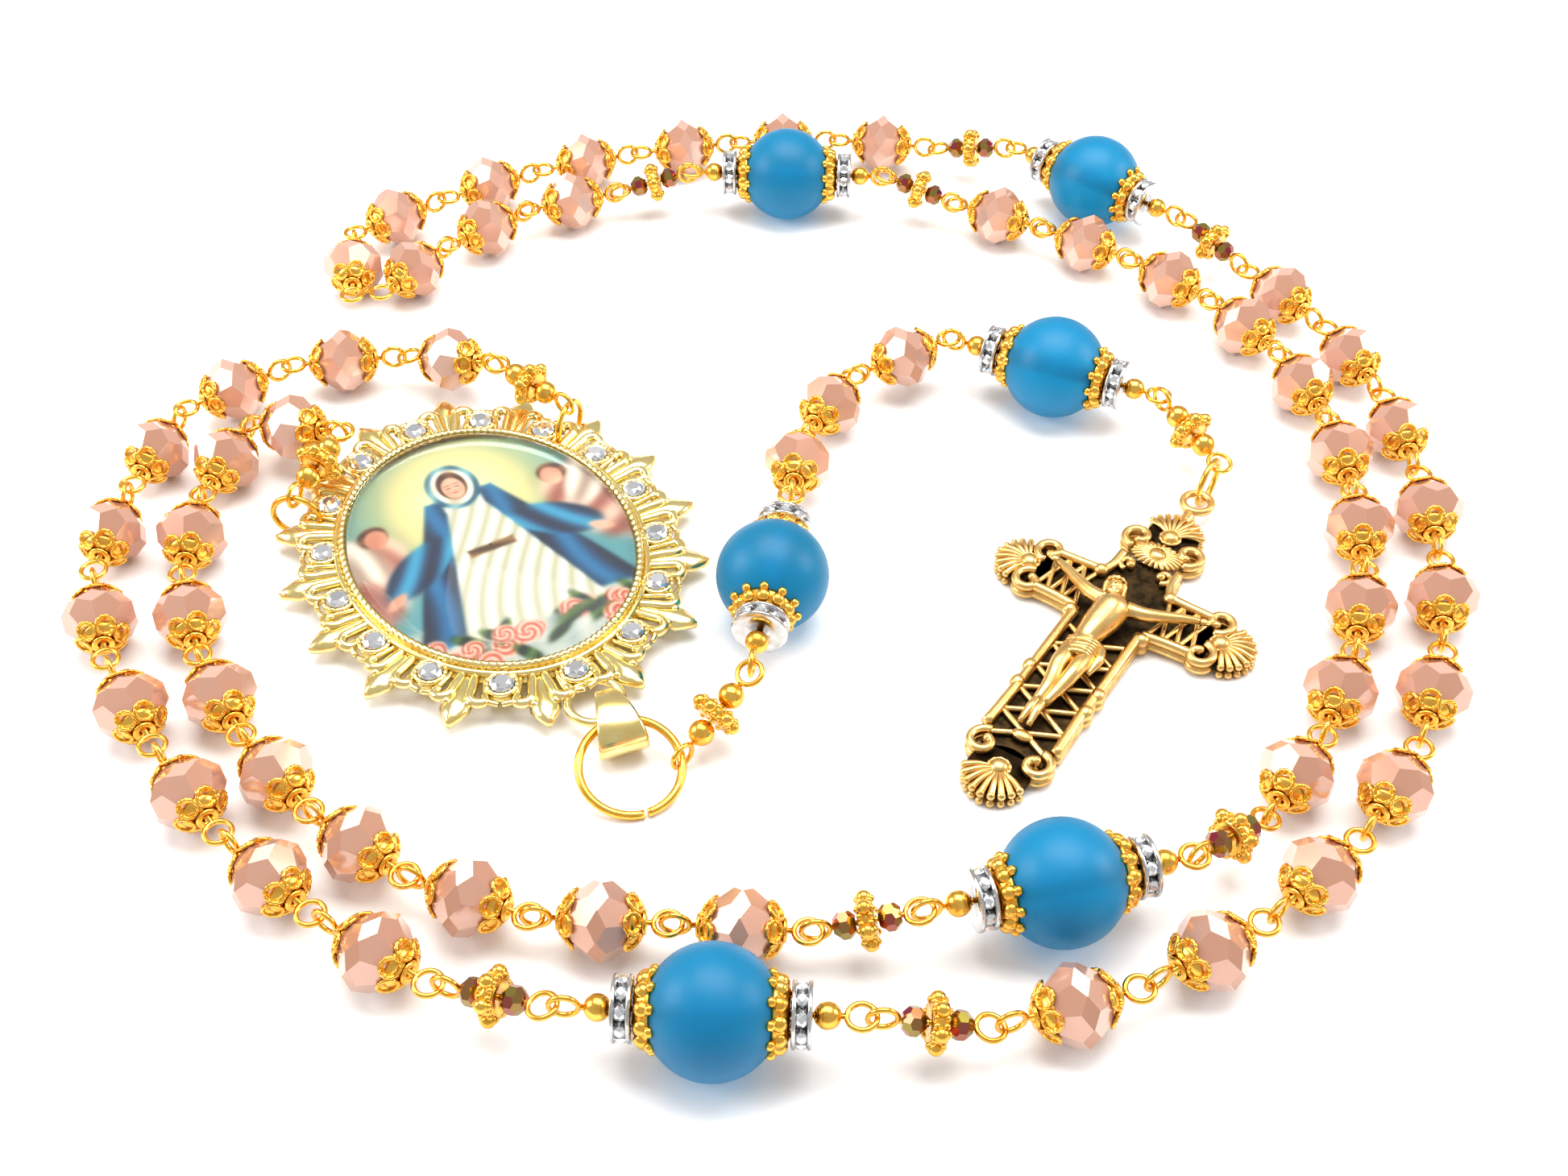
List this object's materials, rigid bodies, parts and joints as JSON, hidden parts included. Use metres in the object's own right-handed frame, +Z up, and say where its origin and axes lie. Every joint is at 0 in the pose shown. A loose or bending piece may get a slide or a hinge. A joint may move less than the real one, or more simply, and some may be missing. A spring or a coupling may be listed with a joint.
{
  "type": "rosary",
  "caption": "Wire-linked bead rosary laid on a flat surface, with an oval domed medal in an openwork rhinestone frame, a bail, a pendant and an openwork crucifix.",
  "frame": {"origin": "middle of the medal's flat back, which lies on the surface", "axes": "+Z up from the surface, through the medal's face; +Y away from the viewer, +X to the viewer's right"},
  "size_m": [0.1523, 0.1515, 0.012],
  "materials": {
    "cast_gold": "polished cast, pale gold plating",
    "gold_plate": "bright gold plating",
    "antique_gold": "polished antique gold with dark recesses",
    "peach_crystal": "opaque lustre-coated faceted crystal",
    "blue_glass": "satin translucent pale blue",
    "rhinestone": "clear foil-backed",
    "dome_glass": "clear polished",
    "picture": "printed, satin"
  },
  "bodies": {
    "medal": {"medal_frame": "cast_gold", "frame_rhinestones": "rhinestone", "picture_disc": "picture", "glass_cabochon": "dome_glass"},
    "outer_end_spacer": {"outer_end_spacer": "gold_plate"},
    "decade_1_beads_1_2": {"decade_1_beads_1_2": "peach_crystal"},
    "decade_1_beads_3_4": {"decade_1_beads_3_4": "peach_crystal"},
    "decade_1_beads_5_6": {"decade_1_beads_5_6": "peach_crystal"},
    "decade_1_beads_7_8": {"decade_1_beads_7_8": "peach_crystal"},
    "decade_1_beads_9_10": {"decade_1_beads_9_10": "peach_crystal"},
    "spacer_1_near": {"spacer_1_near": "gold_plate"},
    "our_father_1": {"our_father_1": "blue_glass"},
    "spacer_1_far": {"spacer_1_far": "gold_plate"},
    "decade_2_beads_1_2": {"decade_2_beads_1_2": "peach_crystal"},
    "decade_2_beads_3_4": {"decade_2_beads_3_4": "peach_crystal"},
    "decade_2_beads_5_6": {"decade_2_beads_5_6": "peach_crystal"},
    "decade_2_beads_7_8": {"decade_2_beads_7_8": "peach_crystal"},
    "decade_2_beads_9_10": {"decade_2_beads_9_10": "peach_crystal"},
    "spacer_2_near": {"spacer_2_near": "gold_plate"},
    "our_father_2": {"our_father_2": "blue_glass"},
    "spacer_2_far": {"spacer_2_far": "gold_plate"},
    "decade_3_beads_1_2": {"decade_3_beads_1_2": "peach_crystal"},
    "decade_3_beads_3_4": {"decade_3_beads_3_4": "peach_crystal"},
    "decade_3_bead_5": {"decade_3_bead_5": "peach_crystal"},
    "decade_3_bead_6": {"decade_3_bead_6": "peach_crystal"},
    "decade_3_bead_7": {"decade_3_bead_7": "peach_crystal"},
    "inner_end_spacer": {"inner_end_spacer": "gold_plate"},
    "decade_5_beads_10_9": {"decade_5_beads_10_9": "peach_crystal"},
    "decade_5_beads_8_7": {"decade_5_beads_8_7": "peach_crystal"},
    "decade_5_beads_6_5": {"decade_5_beads_6_5": "peach_crystal"},
    "decade_5_beads_4_3": {"decade_5_beads_4_3": "peach_crystal"},
    "decade_5_beads_2_1": {"decade_5_beads_2_1": "peach_crystal"},
    "spacer_4_far": {"spacer_4_far": "gold_plate"},
    "our_father_4": {"our_father_4": "blue_glass"},
    "spacer_4_near": {"spacer_4_near": "gold_plate"},
    "decade_4_beads_10_9": {"decade_4_beads_10_9": "peach_crystal"},
    "decade_4_beads_8_7": {"decade_4_beads_8_7": "peach_crystal"},
    "decade_4_beads_6_5": {"decade_4_beads_6_5": "peach_crystal"},
    "decade_4_beads_4_3": {"decade_4_beads_4_3": "peach_crystal"},
    "decade_4_beads_2_1": {"decade_4_beads_2_1": "peach_crystal"},
    "spacer_3_far": {"spacer_3_far": "gold_plate"},
    "our_father_3": {"our_father_3": "blue_glass"},
    "spacer_3_near": {"spacer_3_near": "gold_plate"},
    "decade_3_bead_10": {"decade_3_bead_10": "peach_crystal"},
    "decade_3_bead_9": {"decade_3_bead_9": "peach_crystal"},
    "decade_3_bead_8": {"decade_3_bead_8": "peach_crystal"},
    "pendant_spacer_top": {"pendant_spacer_top": "gold_plate"},
    "pendant_our_father_top": {"pendant_our_father_top": "blue_glass"},
    "pendant_hail_mary_1": {"pendant_hail_mary_1": "peach_crystal"},
    "pendant_hail_mary_2": {"pendant_hail_mary_2": "peach_crystal"},
    "pendant_hail_mary_3": {"pendant_hail_mary_3": "peach_crystal"},
    "pendant_our_father_low": {"pendant_our_father_low": "blue_glass"},
    "pendant_spacer_low": {"pendant_spacer_low": "gold_plate"},
    "right_jump_ring": {"right_jump_ring": "gold_plate"},
    "left_jump_ring": {"left_jump_ring": "gold_plate"},
    "bail": {"bail": "gold_plate"},
    "bail_ring": {"bail_ring": "gold_plate"},
    "crucifix_ring": {"crucifix_ring": "gold_plate"},
    "crucifix": {"crucifix": "antique_gold"}
  },
  "joints": [
    {"name": "outer_end_spacer_swing", "type": "hinge", "parent": "right_jump_ring", "child": "outer_end_spacer", "pos_m": [0.00704, 0.02013, 0.0057], "axis": [-0.6168, -0.7871, 0], "range_deg": [-30, 0]},
    {"name": "decade_1_beads_1_2_swing", "type": "hinge", "parent": "outer_end_spacer", "child": "decade_1_beads_1_2", "pos_m": [-0.00296, 0.02752, 0.0064], "axis": [0.3784, 0.9257, 0], "range_deg": [-15, 30]},
    {"name": "decade_1_beads_3_4_swing", "type": "hinge", "parent": "decade_1_beads_1_2", "child": "decade_1_beads_3_4", "pos_m": [-0.02803, 0.02923, 0.00395], "axis": [0.5971, -0.8021, 0], "range_deg": [-30, 30]},
    {"name": "decade_1_beads_5_6_swing", "type": "hinge", "parent": "decade_1_beads_3_4", "child": "decade_1_beads_5_6", "pos_m": [-0.04112, 0.00699, 0.00395], "axis": [-0.9984, 0.0562, 0], "range_deg": [-30, 30]},
    {"name": "decade_1_beads_7_8_swing", "type": "hinge", "parent": "decade_1_beads_5_6", "child": "decade_1_beads_7_8", "pos_m": [-0.03647, -0.01957, 0.00395], "axis": [0.8374, 0.5467, 0], "range_deg": [-30, 30]},
    {"name": "decade_1_beads_9_10_swing", "type": "hinge", "parent": "decade_1_beads_7_8", "child": "decade_1_beads_9_10", "pos_m": [-0.01993, -0.04158, 0.00395], "axis": [-0.6642, -0.7475, 0], "range_deg": [-30, 30]},
    {"name": "spacer_1_near_swing", "type": "hinge", "parent": "decade_1_beads_9_10", "child": "spacer_1_near", "pos_m": [0.00229, -0.05771, 0.00395], "axis": [0.3246, 0.9458, 0], "range_deg": [-30, 30]},
    {"name": "our_father_1_swing", "type": "hinge", "parent": "spacer_1_near", "child": "our_father_1", "pos_m": [0.01286, -0.06094, 0.00605], "axis": [-0.0406, -0.9992, 0], "range_deg": [-30, 30]},
    {"name": "spacer_1_far_swing", "type": "hinge", "parent": "our_father_1", "child": "spacer_1_far", "pos_m": [0.04014, -0.06197, 0.00605], "axis": [-0.0242, 0.9997, 0], "range_deg": [-30, 30]},
    {"name": "decade_2_beads_1_2_swing", "type": "hinge", "parent": "spacer_1_far", "child": "decade_2_beads_1_2", "pos_m": [0.05119, -0.06137, 0.00395], "axis": [0.2801, -0.96, 0], "range_deg": [-30, 15]},
    {"name": "decade_2_beads_3_4_swing", "type": "hinge", "parent": "decade_2_beads_1_2", "child": "decade_2_beads_3_4", "pos_m": [0.07642, -0.05004, 0.00395], "axis": [-0.6546, 0.756, 0], "range_deg": [-30, 30]},
    {"name": "decade_2_beads_5_6_swing", "type": "hinge", "parent": "decade_2_beads_3_4", "child": "decade_2_beads_5_6", "pos_m": [0.09479, -0.02923, 0.00395], "axis": [0.9186, -0.3952, 0], "range_deg": [-30, 30]},
    {"name": "decade_2_beads_7_8_swing", "type": "hinge", "parent": "decade_2_beads_5_6", "child": "decade_2_beads_7_8", "pos_m": [0.1031, -0.00263, 0.00395], "axis": [-0.9975, 0.0707, 0], "range_deg": [-30, 30]},
    {"name": "decade_2_beads_9_10_swing", "type": "hinge", "parent": "decade_2_beads_7_8", "child": "decade_2_beads_9_10", "pos_m": [0.10276, 0.02525, 0.00395], "axis": [0.9572, 0.2896, 0], "range_deg": [-30, 30]},
    {"name": "spacer_2_near_swing", "type": "hinge", "parent": "decade_2_beads_9_10", "child": "spacer_2_near", "pos_m": [0.09078, 0.05025, 0.00395], "axis": [-0.7719, -0.6358, 0], "range_deg": [-30, 30]},
    {"name": "our_father_2_swing", "type": "hinge", "parent": "spacer_2_near", "child": "our_father_2", "pos_m": [0.08369, 0.0585, 0.00605], "axis": [0.6478, 0.7618, 0], "range_deg": [-30, 30]},
    {"name": "spacer_2_far_swing", "type": "hinge", "parent": "our_father_2", "child": "spacer_2_far", "pos_m": [0.06279, 0.07561, 0.00605], "axis": [-0.3062, -0.952, 0], "range_deg": [-30, 30]},
    {"name": "decade_3_beads_1_2_swing", "type": "hinge", "parent": "spacer_2_far", "child": "decade_3_beads_1_2", "pos_m": [0.05237, 0.07875, 0.00395], "axis": [0.1566, 0.9877, 0], "range_deg": [-30, 10]},
    {"name": "decade_3_beads_3_4_swing", "type": "hinge", "parent": "decade_3_beads_1_2", "child": "decade_3_beads_3_4", "pos_m": [0.02476, 0.0799, 0.00395], "axis": [0.1894, -0.9819, 0], "range_deg": [-30, 30]},
    {"name": "decade_3_bead_5_swing", "type": "hinge", "parent": "decade_3_beads_3_4", "child": "decade_3_bead_5", "pos_m": [-0.00194, 0.0725, 0.00395], "axis": [-0.4904, 0.8715, 0], "range_deg": [-30, 30]},
    {"name": "decade_3_bead_6_swing", "type": "hinge", "parent": "decade_3_bead_5", "child": "decade_3_bead_6", "pos_m": [-0.01396, 0.06555, 0.00395], "axis": [0.5971, -0.8021, 0], "range_deg": [-30, 30]},
    {"name": "decade_3_bead_7_swing", "type": "hinge", "parent": "decade_3_bead_6", "child": "decade_3_bead_7", "pos_m": [-0.0239, 0.05674, 0.00395], "axis": [-0.9915, -0.1298, 0], "range_deg": [-30, 30]},
    {"name": "inner_end_spacer_swing", "type": "hinge", "parent": "left_jump_ring", "child": "inner_end_spacer", "pos_m": [-0.02195, 0.00407, 0.0057], "axis": [0.9423, -0.3349, 0], "range_deg": [0, 30]},
    {"name": "decade_5_beads_10_9_swing", "type": "hinge", "parent": "inner_end_spacer", "child": "decade_5_beads_10_9", "pos_m": [-0.01943, 0.01506, 0.0064], "axis": [-0.3475, -0.9377, 0], "range_deg": [-30, 30]},
    {"name": "decade_5_beads_8_7_swing", "type": "hinge", "parent": "decade_5_beads_10_9", "child": "decade_5_beads_8_7", "pos_m": [-0.03271, 0.00531, 0.00395], "axis": [-0.9988, -0.0489, 0], "range_deg": [-30, 30]},
    {"name": "decade_5_beads_6_5_swing", "type": "hinge", "parent": "decade_5_beads_8_7", "child": "decade_5_beads_6_5", "pos_m": [-0.02718, -0.01903, 0.00395], "axis": [0.8505, 0.526, 0], "range_deg": [-30, 30]},
    {"name": "decade_5_beads_4_3_swing", "type": "hinge", "parent": "decade_5_beads_6_5", "child": "decade_5_beads_4_3", "pos_m": [-0.01179, -0.03894, 0.00395], "axis": [-0.5936, -0.8047, 0], "range_deg": [-30, 30]},
    {"name": "decade_5_beads_2_1_swing", "type": "hinge", "parent": "decade_5_beads_4_3", "child": "decade_5_beads_2_1", "pos_m": [0.01045, -0.0503, 0.00395], "axis": [0.0615, 0.9981, 0], "range_deg": [-30, 30]},
    {"name": "spacer_4_far_swing", "type": "hinge", "parent": "decade_5_beads_2_1", "child": "spacer_4_far", "pos_m": [0.03569, -0.05178, 0.00395], "axis": [0.0701, -0.9975, 0], "range_deg": [-30, 30]},
    {"name": "our_father_4_swing", "type": "hinge", "parent": "spacer_4_far", "child": "our_father_4", "pos_m": [0.04557, -0.05087, 0.00605], "axis": [-0.2334, 0.9724, 0], "range_deg": [-5, 30]},
    {"name": "spacer_4_near_swing", "type": "hinge", "parent": "our_father_4", "child": "spacer_4_near", "pos_m": [0.07077, -0.04429, 0.00605], "axis": [0.5987, -0.8009, 0], "range_deg": [-30, 30]},
    {"name": "decade_4_beads_10_9_swing", "type": "hinge", "parent": "spacer_4_near", "child": "decade_4_beads_10_9", "pos_m": [0.07845, -0.03807, 0.00395], "axis": [-0.8076, 0.5897, 0], "range_deg": [-30, 5]},
    {"name": "decade_4_beads_8_7_swing", "type": "hinge", "parent": "decade_4_beads_10_9", "child": "decade_4_beads_8_7", "pos_m": [0.09117, -0.01635, 0.00395], "axis": [0.9582, -0.2861, 0], "range_deg": [-30, 30]},
    {"name": "decade_4_beads_6_5_swing", "type": "hinge", "parent": "decade_4_beads_8_7", "child": "decade_4_beads_6_5", "pos_m": [0.09597, 0.00838, 0.00395], "axis": [-0.9997, -0.0248, 0], "range_deg": [-30, 30]},
    {"name": "decade_4_beads_4_3_swing", "type": "hinge", "parent": "decade_4_beads_6_5", "child": "decade_4_beads_4_3", "pos_m": [0.09184, 0.03308, 0.00395], "axis": [0.8555, 0.5177, 0], "range_deg": [-30, 30]},
    {"name": "decade_4_beads_2_1_swing", "type": "hinge", "parent": "decade_4_beads_4_3", "child": "decade_4_beads_2_1", "pos_m": [0.07595, 0.05247, 0.00395], "axis": [-0.5576, -0.8301, 0], "range_deg": [-30, 30]},
    {"name": "spacer_3_far_swing", "type": "hinge", "parent": "decade_4_beads_2_1", "child": "spacer_3_far", "pos_m": [0.0541, 0.06512, 0.00395], "axis": [0.344, 0.939, 0], "range_deg": [-30, 30]},
    {"name": "our_father_3_swing", "type": "hinge", "parent": "spacer_3_far", "child": "our_father_3", "pos_m": [0.0447, 0.06815, 0.00605], "axis": [-0.0489, -0.9988, 0], "range_deg": [-5, 30]},
    {"name": "spacer_3_near_swing", "type": "hinge", "parent": "our_father_3", "child": "spacer_3_near", "pos_m": [0.0186, 0.06915, 0.00605], "axis": [-0.1681, 0.9858, 0], "range_deg": [-30, 30]},
    {"name": "decade_3_bead_10_swing", "type": "hinge", "parent": "spacer_3_near", "child": "decade_3_bead_10", "pos_m": [0.00887, 0.06725, 0.00395], "axis": [0.3414, -0.9399, 0], "range_deg": [-30, 5]},
    {"name": "decade_3_bead_9_swing", "type": "hinge", "parent": "decade_3_bead_10", "child": "decade_3_bead_9", "pos_m": [-0.00279, 0.06254, 0.00395], "axis": [-0.647, 0.7625, 0], "range_deg": [-30, 30]},
    {"name": "decade_3_bead_8_swing", "type": "hinge", "parent": "decade_3_bead_9", "child": "decade_3_bead_8", "pos_m": [-0.01218, 0.05412, 0.00395], "axis": [0.8229, -0.5682, 0], "range_deg": [-30, 30]},
    {"name": "pendant_spacer_top_swing", "type": "hinge", "parent": "bail_ring", "child": "pendant_spacer_top", "pos_m": [0.02206, -0.02991, 0.00191], "axis": [0.7465, -0.6654, 0], "range_deg": [-30, 30]},
    {"name": "pendant_our_father_top_swing", "type": "hinge", "parent": "pendant_spacer_top", "child": "pendant_our_father_top", "pos_m": [0.02898, -0.0211, 0.00605], "axis": [-0.9876, 0.1572, 0], "range_deg": [-30, 30]},
    {"name": "pendant_hail_mary_1_swing", "type": "hinge", "parent": "pendant_our_father_top", "child": "pendant_hail_mary_1", "pos_m": [0.03314, 0.00548, 0.00605], "axis": [0.9944, -0.1061, 0], "range_deg": [-30, 30]},
    {"name": "pendant_hail_mary_2_swing", "type": "hinge", "parent": "pendant_hail_mary_1", "child": "pendant_hail_mary_2", "pos_m": [0.03496, 0.01778, 0.00395], "axis": [-0.8736, 0.4867, 0], "range_deg": [-30, 30]},
    {"name": "pendant_hail_mary_3_swing", "type": "hinge", "parent": "pendant_hail_mary_2", "child": "pendant_hail_mary_3", "pos_m": [0.04171, 0.02823, 0.00395], "axis": [0.3809, -0.9246, 0], "range_deg": [-30, 30]},
    {"name": "pendant_our_father_low_swing", "type": "hinge", "parent": "pendant_hail_mary_3", "child": "pendant_our_father_low", "pos_m": [0.05327, 0.03196, 0.00605], "axis": [0.4181, 0.9084, 0], "range_deg": [-30, 30]},
    {"name": "pendant_spacer_low_swing", "type": "hinge", "parent": "pendant_our_father_low", "child": "pendant_spacer_low", "pos_m": [0.07657, 0.02045, 0.00605], "axis": [-0.8517, -0.5241, 0], "range_deg": [-30, 30]},
    {"name": "right_jump_ring_swing", "type": "hinge", "parent": "medal", "child": "right_jump_ring", "pos_m": [0.00708, 0.02022, 0.0021], "axis": [0.9136, -0.4066, 0], "range_deg": [-15, 15]},
    {"name": "left_jump_ring_swing", "type": "hinge", "parent": "medal", "child": "left_jump_ring", "pos_m": [-0.02106, 0.00398, 0.0021], "axis": [-0.1044, -0.9945, 0], "range_deg": [-15, 10]},
    {"name": "bail_swing", "type": "hinge", "parent": "medal", "child": "bail", "pos_m": [0.01481, -0.02497, 0.0021], "axis": [-0.9371, -0.3489, 0], "range_deg": [-5, 15]},
    {"name": "bail_ring_swing", "type": "hinge", "parent": "bail", "child": "bail_ring", "pos_m": [0.01544, -0.02666, 0.00365], "axis": [0.9371, 0.3489, 0], "range_deg": [-15, 15]},
    {"name": "crucifix_ring_swing", "type": "hinge", "parent": "pendant_spacer_low", "child": "crucifix_ring", "pos_m": [0.08105, 0.01093, 0.00395], "axis": [0.8344, -0.5512, 0], "range_deg": [-20, 20]},
    {"name": "crucifix_swing", "type": "hinge", "parent": "crucifix_ring", "child": "crucifix", "pos_m": [0.07896, 0.00777, 0.0017], "axis": [-0.8344, 0.5512, 0], "range_deg": [-20, 20]}
  ]
}
